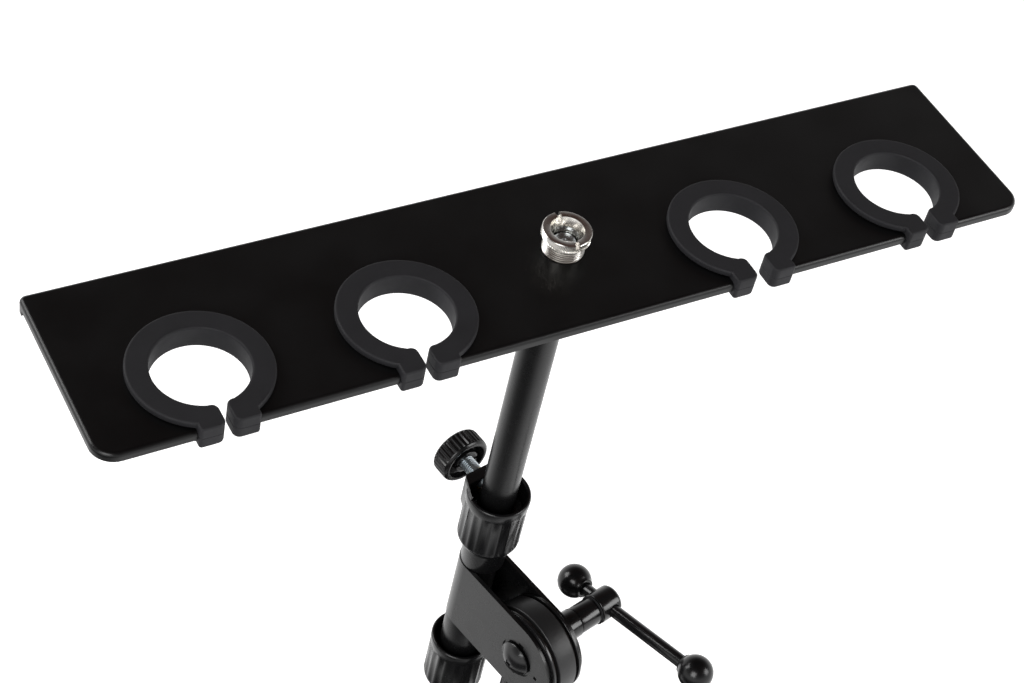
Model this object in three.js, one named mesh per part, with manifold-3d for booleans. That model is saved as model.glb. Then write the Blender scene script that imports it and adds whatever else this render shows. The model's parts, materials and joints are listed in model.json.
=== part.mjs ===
// Four-place holder tray on a tilting bench stand. Millimetres, +Z up.
// Origin: on the floor, below the tray's middle in X and the base's middle in Y. X runs along the tray.
import * as THREE from 'three';
import { mergeVertices } from 'three/addons/utils/BufferGeometryUtils.js';
import Module from 'manifold-3d';

const wasm = await Module();
wasm.setup();

// ---------------------------------------------------------------- driving dimensions
const GAP = 0.3;                 // clearance between neighbouring pieces
const TRAY_TOP = 430;            // height of the tray's top face

const TRAY_LENGTH = 381;
const TRAY_DEPTH = 76;
const SHEET = 1.5;               // steel sheet of the tray
const LIP = 3.6;                 // turned-down edge at the front and the ends
const REAR_FLANGE = 6;           // deeper turned-down edge at the rear
const EDGE_ROUND = 1.2;
const FRONT_CORNER = 8.5;
const REAR_CORNER = 2.5;

const TRAY_BACK = 1.3;           // the tray's middle lies this far behind the boom's axis

const RING_X = [-145.9, -69.6, 66.7, 143.5];
const RING_Y = -13.6;            // ring centres, from the tray's middle
const RING_INNER = 17;
const RING_OUTER = 25.2;
const RING_TOP = 3;
const RING_BOTTOM = -6.4;
const RING_GROOVE = 2.4;         // depth of the groove that the sheet enters
const RING_ROUND = 1;
const ARM_WIDTH = 9.3;
const ARM_FRONT = 26.2;          // front of the arms, from the ring's centre
const ARM_LEFT = [1.2, 4.4, 4.6, 2.1];   // from each ring's centre line to its left arm
const ARM_RIGHT = [1.8, -0.8, 2.6, 2.8]; // the same to its right arm

const TUBE_R = 7.5;              // boom tube
const TUBE_WALL = 1.5;
const SLEEVE_R = 9.5;
const SLEEVE_WALL = 1.4;
const COLUMN_R = 9.5;

const ADAPTER_TOP = 10;
const THREAD_R = 7.94;           // 5/8 inch outside thread
const STUD_R = 4.6;              // 3/8 inch stud
const BOSS_R = 13;
const BOSS_BOTTOM = -12;
const TAIL_END = -316;           // lower end of the boom tube

const COLLAR_RIM = -141.7;       // mouth of the upper collar
const LOWER_RIM = -244.5;        // mouth of the lower collar
const COLLAR_R = 13.6;
const CUP_R = 11.8;
const COLLAR_BODY = 28.5;        // mouth to the start of the taper
const COLLAR_HEIGHT = 32.7;
const FLUTES = 20;
const FLUTE_DEPTH = 0.45;
const SCREW_DROP = 4;            // thumbscrew axis below the mouth
const SCREW_ANGLE = 100;         // its direction round the boom, from +X
const SCREW_R = 3.2;
const EAR_OUT = 13.6;            // flat face of the ear that carries the thumbscrew
const EAR_HALF = 8;
const EAR_TOP = 1.2;             // its height above the mouth

const PIVOT_DROP = -206.6;        // tilt axis below the tray's top face
const PIVOT_REACH = 39.4;        // tilt axis from the boom's axis
const PIVOT_ANGLE = 12.5;        // direction of the tilt axis, from +X
const STRAP_IN = 7.9;            // the strap's inside, round the boom tube
const STRAP_SHEET = 1.85;
const STRAP_HALF = 19.9;         // half height of the strap and radius of its round end
const BOLT_R = 4;
const HUB_HALF = 4.7;
const HUB_R = 22.2;
const DISC_T = 1.1;
const WASHER_T = 1.2;

const BAR_OFFSET = 41.4;         // handle bar from the strap's middle, along the tilt axis
const BAR_ANGLE = 14.3;          // rise of the bar
const BAR_R = 2.9;
const BALL_R = 7.6;
const BALL_NEAR = -19;           // ball centres along the bar, from the tilt axis
const BALL_FAR = 56;

const BASE_R = 118;
const BASE_EDGE = 9;
const BASE_CROWN = 15;
const FOOT_GAP = 1.5;            // the rubber ring holds the casting this far off the floor

// ---------------------------------------------------------------- materials
function finish(color, roughness, metalness) {
  return new THREE.MeshStandardMaterial({ color, roughness, metalness });
}
const powderCoat = finish(0x161617, 0.38, 0.2);
const rubber = finish(0x2c2c30, 0.75, 0);
const tubePaint = finish(0x2a2a2b, 0.35, 0.3);
const plastic = finish(0x141416, 0.3, 0);
const nickel = finish(0xd8d6d0, 0.22, 1);
const zinc = finish(0xb9c4c8, 0.3, 1);
const blackOxide = finish(0x1c1c1e, 0.32, 0.6);
const castIron = finish(0x1b1b1c, 0.5, 0.4);
const fibre = finish(0x4a3b2c, 0.8, 0);
const brass = finish(0xb08d4a, 0.35, 1);

// ---------------------------------------------------------------- geometry helpers
const rad = THREE.MathUtils.degToRad;

// A solid turned about Z. The profile is a closed loop of [radius, height].
function turned(profile, segments = 28) {
  const points = profile.map(([r, z]) => new THREE.Vector2(r, z));
  if (profile[0][0] > 0) points.push(points[0].clone());
  return new THREE.LatheGeometry(points, segments).rotateX(Math.PI / 2);
}

// A plain ring or bush between two radii and two heights.
function collarRing(inner, outer, bottom, top, segments = 28) {
  return turned([[inner, bottom], [outer, bottom], [outer, top], [inner, top]], segments);
}

// A plain round bar between two heights.
function bar(radius, bottom, top, segments = 24) {
  return turned([[0, bottom], [radius, bottom], [radius, top], [0, top]], segments);
}

// Points along an arc, ends included.
function arc(x, y, radius, from, to, steps) {
  return Array.from({ length: steps + 1 }, (_, i) => {
    const angle = from + ((to - from) * i) / steps;
    return new THREE.Vector2(x + radius * Math.cos(angle), y + radius * Math.sin(angle));
  });
}

// A flat outline raised along Z from bottom to top, with an optional rounded edge.
function raised(outline, bottom, top, round = 0) {
  const options = {
    depth: top - bottom - 2 * round,
    bevelEnabled: round > 0,
    bevelThickness: round,
    bevelSize: round,
    bevelOffset: -round,
    bevelSegments: 1,
  };
  return new THREE.ExtrudeGeometry(outline, options).translate(0, 0, bottom + round);
}

function box(x0, x1, y0, y1, z0, z1) {
  const block = new THREE.BoxGeometry(x1 - x0, y1 - y0, z1 - z0);
  return block.translate((x0 + x1) / 2, (y0 + y1) / 2, (z0 + z1) / 2);
}

// Lays a solid made about Z along the tilt axis: its heights become distances along +X.
function alongX(geometry) {
  return geometry.rotateY(Math.PI / 2);
}

function solid(geometry) {
  const plain = geometry.clone();
  plain.deleteAttribute('normal');
  plain.deleteAttribute('uv');
  const merged = mergeVertices(plain, 1e-4);
  return new wasm.Manifold(new wasm.Mesh({
    numProp: 3,
    vertProperties: new Float32Array(merged.attributes.position.array),
    triVerts: new Uint32Array(merged.index.array),
  }));
}

function geometryOf(body) {
  const mesh = body.getMesh();
  const geometry = new THREE.BufferGeometry();
  geometry.setAttribute('position', new THREE.BufferAttribute(mesh.vertProperties, 3));
  geometry.setIndex(new THREE.BufferAttribute(mesh.triVerts, 1));
  const faceted = geometry.toNonIndexed();
  faceted.computeVertexNormals();
  return faceted;
}

// Joins the first list of solids and takes the second list away.
function carve(joined, cut = []) {
  let body = solid(joined[0]);
  for (const piece of joined.slice(1)) body = body.add(solid(piece));
  for (const piece of cut) body = body.subtract(solid(piece));
  return geometryOf(body);
}

function piece(group, name, geometry, material) {
  const mesh = new THREE.Mesh(geometry, material);
  mesh.name = name;
  group.add(mesh);
  return mesh;
}

// ---------------------------------------------------------------- places
const stand = new THREE.Group();
stand.name = 'holder_stand';

const pivotTurn = rad(PIVOT_ANGLE);
const boomY = PIVOT_REACH * Math.cos(pivotTurn);
const columnX = PIVOT_REACH * Math.sin(pivotTurn);

// The boom's frame: Z is the boom's axis, and Z = 0 is the tray's top face.
const boom = new THREE.Group();
boom.position.set(0, boomY, TRAY_TOP);
stand.add(boom);

// The tray's frame: its origin is the middle of the tray's top face.
const tray = new THREE.Group();
tray.position.y = TRAY_BACK;
boom.add(tray);

// The tilt frame: its X is the tilt axis, and its Y points from the tilt axis to the boom.
const tilt = new THREE.Group();
tilt.position.set(columnX, 0, TRAY_TOP + PIVOT_DROP);
tilt.rotation.z = pivotTurn;
stand.add(tilt);

// The column's frame: Z is the column's axis, and Z = 0 is the floor.
const column = new THREE.Group();
column.position.set(columnX, 0, 0);
stand.add(column);

// ---------------------------------------------------------------- tray
function trayOutline(inset) {
  const x = TRAY_LENGTH / 2 - inset;
  const y = TRAY_DEPTH / 2 - inset;
  const front = FRONT_CORNER - inset;
  const rear = Math.max(REAR_CORNER - inset, 0.8);
  return new THREE.Shape([
    ...arc(x - front, -y + front, front, -Math.PI / 2, 0, 5),
    ...arc(x - rear, y - rear, rear, 0, Math.PI / 2, 3),
    ...arc(-x + rear, y - rear, rear, Math.PI / 2, Math.PI, 3),
    ...arc(-x + front, -y + front, front, Math.PI, 1.5 * Math.PI, 5),
  ]);
}

// The cut-out that a ring's groove fits: a circle that opens to the front edge.
function ringSlot(x, i) {
  const slotR = RING_OUTER - RING_GROOVE + GAP;
  const [left, right] = [ARM_LEFT[i], ARM_RIGHT[i]].map((arm) => arm + ARM_WIDTH - RING_GROOVE + GAP);
  const start = -Math.PI / 2 + Math.asin(right / slotR);
  const end = 1.5 * Math.PI - Math.asin(left / slotR);
  const beyond = RING_Y - 2 * slotR;
  return raised(new THREE.Shape([
    new THREE.Vector2(x + right, beyond),
    ...arc(x, RING_Y, slotR, start, end, 20),
    new THREE.Vector2(x - left, beyond),
  ]), -12, 4);
}

function trayPlate() {
  const half = TRAY_LENGTH / 2;
  const pan = raised(trayOutline(0), -2 * REAR_FLANGE, 0, EDGE_ROUND);
  const pocket = raised(trayOutline(SHEET), -3 * REAR_FLANGE, -SHEET);
  const belowFlange = box(-half - 1, half + 1, -TRAY_DEPTH, TRAY_DEPTH, -3 * REAR_FLANGE, -REAR_FLANGE);
  const belowLip = box(-half - 1, half + 1, -TRAY_DEPTH, TRAY_DEPTH / 2 - 4.5, -3 * REAR_FLANGE, -LIP);
  const hole = bar(THREAD_R + GAP, -12, 4).translate(0, -TRAY_BACK, 0);
  return carve([pan], [pocket, belowFlange, belowLip, hole, ...RING_X.map(ringSlot)]);
}

// Plan of the half of a ring at +X, from its arm to its crown, outside and inside.
// arm is the distance from the centre line to the arm, and inset pulls the outer side in, to form the groove.
function ringHalf(arm, inset) {
  const outer = RING_OUTER - inset;
  const side = arm + ARM_WIDTH - inset;
  const low = -Math.PI / 2 + Math.asin(side / outer);
  const nose = 2.6;
  const spread = arm - 1.5;
  const outside = [
    new THREE.Vector2(side - 1, -ARM_FRONT),
    new THREE.Vector2(side, -ARM_FRONT + 1),
    ...arc(0, 0, outer, low, Math.PI / 2, 11),
  ];
  const bore = arc(0, 0, RING_INNER, Math.PI / 2, -Math.PI / 2 + 0.42, 10);
  for (const point of bore) point.x += spread * Math.min(point.y / RING_INNER, 0) ** 2;
  const inside = [
    ...bore,
    ...arc(arm + nose, -19.6, nose, Math.PI / 2 + 0.1, Math.PI, 3),
    ...arc(arm + nose, -23.5, nose, Math.PI, 1.5 * Math.PI + 0.2, 3),
  ];
  return { outside, inside };
}

function ringOutline(left, right, inset) {
  const east = ringHalf(right, inset);
  const west = ringHalf(left, inset);
  const mirrored = (points) => points.map((p) => new THREE.Vector2(-p.x, p.y)).reverse();
  return new THREE.Shape([
    ...east.outside, ...mirrored(west.outside).slice(1), ...mirrored(west.inside), ...east.inside.slice(1),
  ]);
}

function ringGrommet(left, right) {
  const seat = -SHEET - GAP;
  const top = raised(ringOutline(left, right, 0), GAP, RING_TOP, RING_ROUND);
  const waist = raised(ringOutline(left, right, RING_GROOVE), seat - 1, GAP + 1);
  const bottom = raised(ringOutline(left, right, 0), RING_BOTTOM, seat, RING_ROUND);
  // Behind the arms, the lower half is cut back where the sheet's turned-down lip hangs.
  const lipY = -TRAY_DEPTH / 2 - RING_Y;
  const lipClear = [[-1, left], [1, right]].map(([s, arm]) => {
    const inner = s * (arm + ARM_WIDTH - RING_GROOVE);
    const outer = s * (arm + ARM_WIDTH + 3);
    return box(Math.min(inner, outer), Math.max(inner, outer), lipY - GAP, lipY + SHEET + GAP, -LIP - GAP, 0);
  });
  return carve([top, waist, bottom], lipClear);
}

piece(tray, 'tray_plate', trayPlate(), powderCoat);
RING_X.forEach((x, i) => {
  const ring = piece(tray, `ring_grommet_${i + 1}`, ringGrommet(ARM_LEFT[i], ARM_RIGHT[i]), rubber);
  ring.position.set(x, RING_Y, 0);
});

// Round boss welded below the tray, threaded for the adapter.
const bossTop = -SHEET - GAP;
piece(boom, 'tray_boss', turned([
  [THREAD_R + GAP, BOSS_BOTTOM], [BOSS_R - 2, BOSS_BOTTOM], [BOSS_R - 2, bossTop - 2.5],
  [BOSS_R + 3, bossTop - 2.5], [BOSS_R + 3, bossTop], [THREAD_R + GAP, bossTop],
]), powderCoat);

// Adapter: 5/8 inch thread outside, 3/8 inch bore inside, with a coin slot across its flange.
function threadAdapter() {
  const bore = STUD_R + GAP;
  const flangeUnder = ADAPTER_TOP - 3.4;
  const body = turned([
    [bore, BOSS_BOTTOM + 0.5], [THREAD_R - 0.5, BOSS_BOTTOM + 0.5], [THREAD_R, BOSS_BOTTOM + 1],
    [THREAD_R, flangeUnder], [9.3, flangeUnder + 0.4], [9.3, ADAPTER_TOP - 0.4], [8.9, ADAPTER_TOP],
    [6.4, ADAPTER_TOP], [bore, ADAPTER_TOP - 3.4],
  ]);
  const slot = box(-10, 10, -0.9, 0.9, ADAPTER_TOP - 1.8, ADAPTER_TOP + 1).rotateZ(rad(128));
  return carve([body], [slot]);
}
piece(boom, 'thread_adapter', threadAdapter(), nickel);

// ---------------------------------------------------------------- boom tube
const shoulderTop = BOSS_BOTTOM - GAP;
const tubeTop = shoulderTop - 8 - GAP;
piece(boom, 'boom_stud', turned([
  [0, tubeTop - 20], [TUBE_R - TUBE_WALL - GAP, tubeTop - 20], [TUBE_R - TUBE_WALL - GAP, tubeTop + GAP],
  [TUBE_R + 1, tubeTop + GAP], [TUBE_R + 1, shoulderTop], [STUD_R, shoulderTop],
  [STUD_R, 3.8], [STUD_R - 0.7, 4.5], [0, 4.5],
]), zinc);
piece(boom, 'boom_tube', collarRing(TUBE_R - TUBE_WALL, TUBE_R, TAIL_END, tubeTop), tubePaint);
piece(boom, 'boom_end_cap', turned([
  [0, TAIL_END - 2.5], [TUBE_R - 0.4, TAIL_END - 2.5], [TUBE_R + 0.8, TAIL_END - 1.5],
  [TUBE_R + 0.8, TAIL_END - GAP], [TUBE_R - TUBE_WALL - GAP, TAIL_END - GAP],
  [TUBE_R - TUBE_WALL - GAP, TAIL_END + 14], [0, TAIL_END + 14],
]), plastic);

// ---------------------------------------------------------------- sleeve and collars
const sleeveTop = COLLAR_RIM - 18.5;
const sleeveBottom = LOWER_RIM - 17;
const sleeveIn = SLEEVE_R - SLEEVE_WALL;
const strapTop = PIVOT_DROP + STRAP_HALF + GAP;
const strapBottom = PIVOT_DROP - STRAP_HALF - GAP;
piece(boom, 'sleeve_upper', collarRing(sleeveIn, SLEEVE_R, strapTop, sleeveTop), tubePaint);
piece(boom, 'sleeve_lower', collarRing(sleeveIn, SLEEVE_R, sleeveBottom, strapBottom), tubePaint);

// Outline with shallow flutes all round.
function flutedOutline(radius) {
  const points = Array.from({ length: 2 * FLUTES }, (_, i) => {
    const angle = (i / FLUTES) * Math.PI;
    const r = radius - (i % 2) * FLUTE_DEPTH;
    return new THREE.Vector2(r * Math.cos(angle), r * Math.sin(angle));
  });
  return new THREE.Shape(points);
}

// A collar's outside, with Z = 0 at its mouth: rim, fluted grip and tapered end.
function collarOutside(endR) {
  const rim = turned([
    [0, -5], [COLLAR_R - 0.6, -5], [COLLAR_R, -3], [COLLAR_R, -0.8], [COLLAR_R - 0.6, 0], [0, 0],
  ]);
  const grip = raised(flutedOutline(COLLAR_R - 0.25), -COLLAR_BODY, -3.5);
  const end = turned([
    [0, -COLLAR_HEIGHT], [endR, -COLLAR_HEIGHT], [COLLAR_R - 0.8, -COLLAR_BODY],
    [COLLAR_R - 0.8, -COLLAR_BODY + 1], [0, -COLLAR_BODY + 1],
  ]);
  return [rim, grip, end];
}

// Swings a solid made about Z out to the thumbscrew's direction: its heights become distances from the boom.
function toScrew(geometry) {
  return geometry.rotateY(Math.PI / 2).rotateZ(rad(SCREW_ANGLE)).translate(0, 0, -SCREW_DROP);
}

// The ear leaves the collar's sides and narrows to a flat face, to carry the thumbscrew.
function screwEar() {
  const plan = [[2, -13.3], [EAR_OUT, -EAR_HALF], [EAR_OUT, EAR_HALF], [2, 13.3]];
  const outline = new THREE.Shape(plan.map(([x, y]) => new THREE.Vector2(x, y)));
  return raised(outline, -13, EAR_TOP, 0.6).rotateZ(rad(SCREW_ANGLE));
}

function upperCollar() {
  const earIn = TUBE_R + 1.8;
  const half = Math.acos(earIn / CUP_R);
  const mouth = raised(new THREE.Shape(arc(0, 0, CUP_R, half, 2 * Math.PI - half, 24)), -10, 3);
  const cup = bar(CUP_R, -18.5, -9.7);
  const bore = bar(SLEEVE_R + GAP, -COLLAR_HEIGHT - 1, -18);
  const insertHole = toScrew(bar(4.8, TUBE_R, EAR_OUT + 2));
  const joined = [...collarOutside(SLEEVE_R + 1.1), screwEar()];
  return carve(joined, [mouth.rotateZ(rad(SCREW_ANGLE)), cup, bore, insertHole]);
}

function lowerCollar() {
  const cup = bar(CUP_R, -12, 1);
  const seat = bar(SLEEVE_R + GAP, -17.3, -11);
  const bore = bar(TUBE_R + GAP, -COLLAR_HEIGHT - 1, -17);
  return carve(collarOutside(TUBE_R + 1.6), [cup, seat, bore]);
}

const upper = new THREE.Group();
upper.position.z = COLLAR_RIM;
boom.add(upper);
piece(upper, 'upper_collar', upperCollar(), plastic);
piece(upper, 'upper_bush', collarRing(TUBE_R + 0.2, CUP_R - GAP, -18.2, -10), plastic);
piece(upper, 'clamp_insert', toScrew(collarRing(SCREW_R + 0.25, 4.5, TUBE_R + 2.3, EAR_OUT - 0.2, 20)), brass);
piece(upper, 'thumbscrew_screw', toScrew(bar(SCREW_R, TUBE_R + GAP, 28, 20)), zinc);
piece(upper, 'thumbscrew_knob', toScrew(carve([turned([
  [0, 21.4], [10.4, 21.4], [11.3, 22.4], [11.3, 29.6], [10.2, 30.6], [0, 31],
])], [collarRing(5.6, 8.9, 20, 24.6), bar(SCREW_R + GAP, 20, 28.3, 20)])), plastic);

const lower = new THREE.Group();
lower.position.z = LOWER_RIM;
boom.add(lower);
piece(lower, 'lower_collar', lowerCollar(), plastic);

// ---------------------------------------------------------------- strap and tilt joint
const strapOut = STRAP_IN + STRAP_SHEET;

// The strap: a sheet bent round the boom, with two cheeks that end round the tilt axis.
function strapBracket() {
  const far = STRAP_HALF + 1;
  const wrap = new THREE.Shape([
    new THREE.Vector2(strapOut, -far),
    ...arc(0, PIVOT_REACH, strapOut, 0, Math.PI, 16),
    new THREE.Vector2(-strapOut, -far),
    new THREE.Vector2(-STRAP_IN, -far),
    ...arc(0, PIVOT_REACH, STRAP_IN, Math.PI, 0, 16),
    new THREE.Vector2(STRAP_IN, -far),
  ]);
  const side = new THREE.Shape([
    new THREE.Vector2(PIVOT_REACH + strapOut + 1, -STRAP_HALF),
    new THREE.Vector2(PIVOT_REACH + strapOut + 1, STRAP_HALF),
    ...arc(0, 0, STRAP_HALF, Math.PI / 2, 1.5 * Math.PI, 20),
  ]);
  const cheeks = raised(side, -strapOut - 1, strapOut + 1);
  cheeks.rotateX(Math.PI / 2).rotateZ(Math.PI / 2);
  const band = solid(raised(wrap, -STRAP_HALF - 1, STRAP_HALF + 1)).intersect(solid(cheeks));
  return geometryOf(band.subtract(solid(alongX(bar(BOLT_R + GAP, -strapOut - 1, strapOut + 1)))));
}
piece(tilt, 'strap_bracket', strapBracket(), tubePaint);

const discIn = HUB_HALF + GAP;
const washerIn = discIn + DISC_T + GAP;
for (const [side, s] of [['near', -1], ['far', 1]]) {
  const disc = collarRing(BOLT_R + GAP, HUB_R - 1.2, Math.min(s * discIn, s * (discIn + DISC_T)),
    Math.max(s * discIn, s * (discIn + DISC_T)), 32);
  const washer = collarRing(BOLT_R + GAP, HUB_R - 0.4, Math.min(s * washerIn, s * (washerIn + WASHER_T)),
    Math.max(s * washerIn, s * (washerIn + WASHER_T)), 32);
  piece(tilt, `friction_disc_${side}`, alongX(disc), fibre);
  piece(tilt, `cheek_washer_${side}`, alongX(washer), blackOxide);
}

const headIn = -strapOut - GAP;
piece(tilt, 'pivot_bolt', alongX(turned([
  [0, headIn - 4.4], [3, headIn - 4], [6, headIn - 2.6], [7.9, headIn - 0.8], [7.9, headIn],
  [BOLT_R, headIn], [BOLT_R, 33], [0, 33],
])), blackOxide);

const spacerIn = strapOut + GAP;
piece(tilt, 'handle_spacer', alongX(collarRing(BOLT_R + GAP, 6.6, spacerIn, 23.3)), blackOxide);

// Threaded handle head: barrel, groove and the round crosshead that the bar slides through.
function handleHead() {
  const head = alongX(turned([
    [0, 33.3], [BOLT_R + GAP, 33.3], [BOLT_R + GAP, 23.6], [6.2, 23.6], [6.2, 33.8], [5.6, 34.1], [5.6, 35.1],
    [6.9, 35.4], [6.9, 45.2], [5.6, 46.6], [0, 47.2],
  ]));
  const crossHole = bar(BAR_R + GAP, -10, 10, 20);
  crossHole.rotateX(Math.PI / 2 - rad(BAR_ANGLE)).translate(BAR_OFFSET, 0, 0);
  return carve([head], [crossHole]);
}
piece(tilt, 'handle_head', handleHead(), blackOxide);
piece(tilt, 'handle_ring', alongX(collarRing(5.85, 6.85, 34.25, 34.95)), rubber);

// The bar's frame: its Z runs along the bar, away from the boom and upwards.
const cross = new THREE.Group();
cross.position.set(BAR_OFFSET, 0, 0);
cross.rotation.x = Math.PI / 2 - rad(BAR_ANGLE);
tilt.add(cross);
piece(cross, 'handle_bar', bar(BAR_R, BALL_NEAR - 3, BALL_FAR + 3, 20), blackOxide);
for (const [name, at, inward] of [['handle_ball_near', BALL_NEAR, 1], ['handle_ball_far', BALL_FAR, -1]]) {
  const ball = new THREE.SphereGeometry(BALL_R, 18, 12).rotateX(Math.PI / 2);
  const socket = bar(BAR_R + GAP, -3 - GAP, BALL_R + 1, 18);
  if (inward < 0) socket.rotateX(Math.PI);
  const knob = piece(cross, name, carve([ball], [socket]), plastic);
  knob.position.z = at;
}

// ---------------------------------------------------------------- column and base
// The hub: a disc held between the cheeks, on a neck with a spigot for the column tube.
function pivotHub() {
  const disc = alongX(bar(HUB_R, -HUB_HALF, HUB_HALF, 36));
  const neck = box(-HUB_HALF, HUB_HALF, -COLUMN_R + 0.5, COLUMN_R - 0.5, -HUB_R - 2, -8);
  const flange = bar(COLUMN_R, -HUB_R - 3.6, -HUB_R - 0.3);
  const spigot = bar(COLUMN_R - SLEEVE_WALL - GAP, -HUB_R - 26, -HUB_R - 3);
  const boltHole = alongX(bar(BOLT_R + GAP, -HUB_HALF - 1, HUB_HALF + 1));
  return carve([disc, neck, flange, spigot], [boltHole]);
}
piece(tilt, 'pivot_hub', pivotHub(), castIron);

const columnTop = TRAY_TOP + PIVOT_DROP - HUB_R - 3.6 - GAP;
const columnBottom = BASE_CROWN + FOOT_GAP + GAP;
const columnIn = COLUMN_R - SLEEVE_WALL;
piece(column, 'column_tube', collarRing(columnIn, COLUMN_R, columnBottom, columnTop), tubePaint);
piece(column, 'column_ferrule', carve([
  bar(COLUMN_R - SLEEVE_WALL - GAP, columnBottom, columnBottom + 26),
], [bar(5.3, columnBottom - 1, columnBottom + 20)]), zinc);
piece(column, 'column_cover', turned([
  [COLUMN_R + GAP, columnBottom], [27, columnBottom], [27, columnBottom + 2.5], [22, columnBottom + 5],
  [13, columnBottom + 14], [12, columnBottom + 18], [COLUMN_R + GAP, columnBottom + 18],
]), plastic);

function basePlate() {
  const casting = turned([
    [0, FOOT_GAP], [BASE_R - 1.5, FOOT_GAP], [BASE_R, FOOT_GAP + 1.5], [BASE_R, BASE_EDGE - 2],
    [BASE_R - 3, BASE_EDGE + 1],
    [60, BASE_CROWN - 0.6], [30, BASE_CROWN + FOOT_GAP], [0, BASE_CROWN + FOOT_GAP],
  ], 48);
  const boltHole = bar(5.3, -1, BASE_CROWN + 5);
  const headRecess = bar(13, -1, 9.5);
  const footGroove = collarRing(BASE_R - 15.3, BASE_R - 5.7, -1, 3.3, 48);
  return carve([casting], [boltHole, headRecess, footGroove]);
}
piece(column, 'base_plate', basePlate(), castIron);
piece(column, 'base_foot_ring', collarRing(BASE_R - 15, BASE_R - 6, 0, 3, 48), rubber);
piece(column, 'base_washer', collarRing(5.3, 11, 7.2, 9.2, 24), zinc);

function baseBolt() {
  const head = new THREE.CylinderGeometry(9.2, 9.2, 5.4, 6).rotateX(Math.PI / 2).translate(0, 0, 4.2);
  return carve([head, bar(5, 5, columnBottom + 18)]);
}
piece(column, 'base_bolt', baseBolt(), zinc);

export default stand;
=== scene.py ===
"""A four-place holder tray on a tilting bench stand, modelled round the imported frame. Metres, +Z up."""
import json
import math

import bmesh
import bpy
from mathutils import Matrix, Vector


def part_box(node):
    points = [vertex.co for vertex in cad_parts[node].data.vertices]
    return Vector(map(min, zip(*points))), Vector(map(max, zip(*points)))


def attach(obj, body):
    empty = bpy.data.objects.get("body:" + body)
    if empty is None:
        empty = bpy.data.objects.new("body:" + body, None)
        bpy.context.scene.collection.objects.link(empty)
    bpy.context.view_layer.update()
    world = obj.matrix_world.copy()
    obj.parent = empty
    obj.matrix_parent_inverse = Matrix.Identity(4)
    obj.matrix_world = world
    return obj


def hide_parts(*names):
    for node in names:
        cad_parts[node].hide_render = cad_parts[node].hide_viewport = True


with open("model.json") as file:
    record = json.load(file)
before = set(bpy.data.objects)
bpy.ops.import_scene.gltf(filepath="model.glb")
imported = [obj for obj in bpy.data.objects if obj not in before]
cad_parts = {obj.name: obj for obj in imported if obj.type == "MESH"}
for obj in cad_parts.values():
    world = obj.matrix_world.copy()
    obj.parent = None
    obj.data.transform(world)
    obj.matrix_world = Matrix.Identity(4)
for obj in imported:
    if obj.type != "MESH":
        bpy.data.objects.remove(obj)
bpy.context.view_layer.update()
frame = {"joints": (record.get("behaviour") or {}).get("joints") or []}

# ---------------------------------------------------------------- places and sizes
MM = 0.001
joints = {joint["name"]: joint for joint in frame["joints"]}
stud_top = Vector(joints["tray_swivel"]["pos_m"])
pivot = Vector(joints["boom_tilt"]["pos_m"])
bolt_way = Vector(joints["boom_tilt"]["axis"]).normalized()
screw_middle = Vector(joints["thumbscrew_turn"]["pos_m"])
screw_way = Vector(joints["thumbscrew_turn"]["axis"]).normalized()
bar_way = Vector(joints["cross_bar_slide"]["axis"]).normalized()
up = Vector((0, 0, 1))

# The tray's sheet and its turned-down edges. From here on, sizes are in millimetres.
tray_low, tray_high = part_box("tray_plate")
tray_middle = (tray_low + tray_high) / 2
TRAY_LENGTH = (tray_high.x - tray_low.x) / MM
TRAY_DEPTH = (tray_high.y - tray_low.y) / MM
SHEET = 1.5
LIP = 3.6
REAR_FLANGE = 6
EDGE_BEND = 1.7
FRONT_CORNER = 8.5
REAR_CORNER = 2.6
REAR_HOOK = 4.0

# The heights a cutter spans to go through the sheet, and the hole for the stud.
SHEET_CUT = (-12, 4)
STUD_HOLE_R = 8.24
STUD_HOLE_Y = -1.3

# The rubber rings: where each stands on the tray, its section, and each one's arms from its middle line.
RING_X = [-145.9, -69.6, 66.7, 143.5]
RING_Y = -13.6
RING_SIDES = 144
RING_INNER = 17
RING_OUTER = 25.2
RING_TOP = 3
RING_BOTTOM = -6.4
RING_EASE = 1.05
GROOVE_R = 22.9
GROOVE_LOW = -1.75
GROOVE_HIGH = 0.2
SLOT_R = 23.1
SLOT_MOUTH = 17.6
BEYOND_TRAY = 40
ARM_WIDTH = 9.3
ARM_FRONT = 26.2
ARM_NOSE = 2.6
ARM_OUTER_EASE = 1.2
ARM_END_EASE = 0.9
ARM_INTO_RING = 0.15
ARM_PARTING = -1.7
ARM_PARTING_HALF = 0.25
ARM_PLAY = 0.15
RING_OPENING = 2.8
ARM_LEFT = [1.2, 4.4, 4.6, 2.1]
ARM_RIGHT = [1.8, -0.8, 2.6, 2.8]

# The adapter's knurled flange and coin slot.
ADAPTER_SIDES = 120
KNURL_ROWS = (7.0, 7.85, 8.7, 9.55)
KNURL_DEPTH = 0.5
KNURL_TWIST = 4.2
COIN_SLOT_ANGLE = 87
COIN_SLOT_HALF = 0.9
COIN_SLOT_FLOOR = 8.2

# The boom, its sleeves and the two fluted collars.
BOOM_R = 7.5
PIPE_BORE = 8.1
PIPE_R = 9.5
UPPER_RIM_DROP = 141.7
LOWER_RIM_DROP = 244.5
COLLAR_R = 13.6
COLLAR_SIDES = 120
COLLAR_EASE = 0.35
FLUTE_DEPTHS = [0, 0.26, 0.46, 0.52, 0.46, 0.26]
FLUTE_BAND = (-27.3, -5.6)
FLUTES_BEYOND = 13.0
CUP_R = 11.8
CUP_SIDES = 144
CUP_FLAT = 8.5
SLEEVE_SEAT_R = 9.8
BOOM_BORE_R = 7.8

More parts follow.
